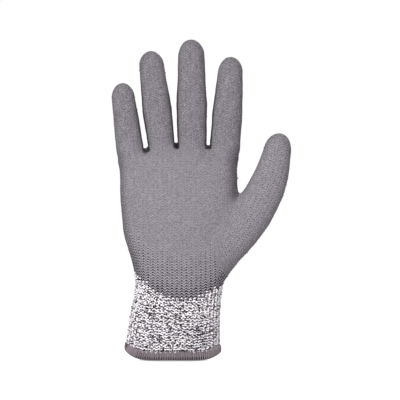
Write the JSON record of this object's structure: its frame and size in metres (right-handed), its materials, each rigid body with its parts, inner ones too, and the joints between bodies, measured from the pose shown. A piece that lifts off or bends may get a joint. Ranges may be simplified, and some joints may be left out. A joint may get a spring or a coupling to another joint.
{
  "type": "cut resistant glove",
  "caption": "Right-hand seamless knitted cut resistant work glove with a dipped palm film, a ribbed wrist and an overlocked hem; fingers, thumb and wrist bend.",
  "frame": {"origin": "centre of the wrist opening, level with the lowest point of the hem", "axes": "+Z from the wrist to the fingertips, -Y out of the palm, +X towards the thumb"},
  "size_m": [0.1378, 0.0524, 0.2498],
  "materials": {
    "knit": "salt and pepper melange jersey knit, white, light grey and dark grey flecks",
    "film": "matt grey polyurethane film over the knit, the courses showing through at the heel of the hand",
    "hem": "overlocked grey-brown thread",
    "elastic": "covered rubber thread"
  },
  "bodies": {
    "cuff": {"cuff_knit": "knit", "cuff_hem": "hem", "elastic_thread_1": "elastic", "elastic_thread_2": "elastic", "elastic_thread_3": "elastic", "elastic_thread_4": "elastic"},
    "palm": {"palm_knit": "knit", "palm_film": "film"},
    "little_proximal": {"little_proximal_knit": "knit", "little_proximal_film": "film"},
    "little_middle": {"little_middle_knit": "knit", "little_middle_film": "film"},
    "little_distal": {"little_distal_knit": "knit", "little_distal_film": "film"},
    "ring_proximal": {"ring_proximal_knit": "knit", "ring_proximal_film": "film"},
    "ring_middle": {"ring_middle_knit": "knit", "ring_middle_film": "film"},
    "ring_distal": {"ring_distal_knit": "knit", "ring_distal_film": "film"},
    "middle_proximal": {"middle_proximal_knit": "knit", "middle_proximal_film": "film"},
    "middle_middle": {"middle_middle_knit": "knit", "middle_middle_film": "film"},
    "middle_distal": {"middle_distal_knit": "knit", "middle_distal_film": "film"},
    "index_proximal": {"index_proximal_knit": "knit", "index_proximal_film": "film"},
    "index_middle": {"index_middle_knit": "knit", "index_middle_film": "film"},
    "index_distal": {"index_distal_knit": "knit", "index_distal_film": "film"},
    "thumb_base": {"thumb_base_knit": "knit", "thumb_base_film": "film"},
    "thumb_tip": {"thumb_tip_knit": "knit", "thumb_tip_film": "film"}
  },
  "joints": [
    {"name": "wrist", "type": "hinge", "parent": "cuff", "child": "palm", "pos_m": [0.005, 0, 0.056], "axis": [1, 0, 0], "range_deg": [-35, 35]},
    {"name": "little_knuckle", "type": "hinge", "parent": "palm", "child": "little_proximal", "pos_m": [-0.0334, -0.002, 0.17394], "axis": [0.9938, 0, 0.1111], "range_deg": [0, 75]},
    {"name": "little_mid_joint", "type": "hinge", "parent": "little_proximal", "child": "little_middle", "pos_m": [-0.03518, -0.002, 0.18985], "axis": [0.9938, 0, 0.1111], "range_deg": [0, 85]},
    {"name": "little_tip_joint", "type": "hinge", "parent": "little_middle", "child": "little_distal", "pos_m": [-0.03662, -0.002, 0.20277], "axis": [0.9938, 0, 0.1111], "range_deg": [0, 45]},
    {"name": "ring_knuckle", "type": "hinge", "parent": "palm", "child": "ring_proximal", "pos_m": [-0.00993, -0.002, 0.17695], "axis": [0.9947, 0, 0.1033], "range_deg": [0, 75]},
    {"name": "ring_mid_joint", "type": "hinge", "parent": "ring_proximal", "child": "ring_middle", "pos_m": [-0.01251, -0.002, 0.20182], "axis": [0.9947, 0, 0.1033], "range_deg": [0, 85]},
    {"name": "ring_tip_joint", "type": "hinge", "parent": "ring_middle", "child": "ring_distal", "pos_m": [-0.01468, -0.002, 0.22271], "axis": [0.9947, 0, 0.1033], "range_deg": [0, 45]},
    {"name": "middle_knuckle", "type": "hinge", "parent": "palm", "child": "middle_proximal", "pos_m": [0.01495, -0.002, 0.179], "axis": [1, 0, 0.0049], "range_deg": [0, 75]},
    {"name": "middle_mid_joint", "type": "hinge", "parent": "middle_proximal", "child": "middle_middle", "pos_m": [0.01482, -0.002, 0.206], "axis": [1, 0, 0.0049], "range_deg": [0, 85]},
    {"name": "middle_tip_joint", "type": "hinge", "parent": "middle_middle", "child": "middle_distal", "pos_m": [0.0147, -0.002, 0.229], "axis": [1, 0, 0.0049], "range_deg": [0, 45]},
    {"name": "index_knuckle", "type": "hinge", "parent": "palm", "child": "index_proximal", "pos_m": [0.04091, -0.002, 0.17797], "axis": [0.9974, 0, -0.0715], "range_deg": [0, 75]},
    {"name": "index_mid_joint", "type": "hinge", "parent": "index_proximal", "child": "index_middle", "pos_m": [0.04256, -0.002, 0.20092], "axis": [0.9974, 0, -0.0715], "range_deg": [0, 85]},
    {"name": "index_tip_joint", "type": "hinge", "parent": "index_middle", "child": "index_distal", "pos_m": [0.04392, -0.002, 0.21987], "axis": [0.9974, 0, -0.0715], "range_deg": [0, 45]},
    {"name": "thumb_knuckle", "type": "hinge", "parent": "palm", "child": "thumb_base", "pos_m": [0.066, -0.002, 0.1185], "axis": [0.6259, 0, -0.7799], "range_deg": [0, 40]},
    {"name": "thumb_tip_joint", "type": "hinge", "parent": "thumb_base", "child": "thumb_tip", "pos_m": [0.0782, -0.002, 0.151], "axis": [0.9629, 0, -0.27], "range_deg": [0, 60]}
  ]
}
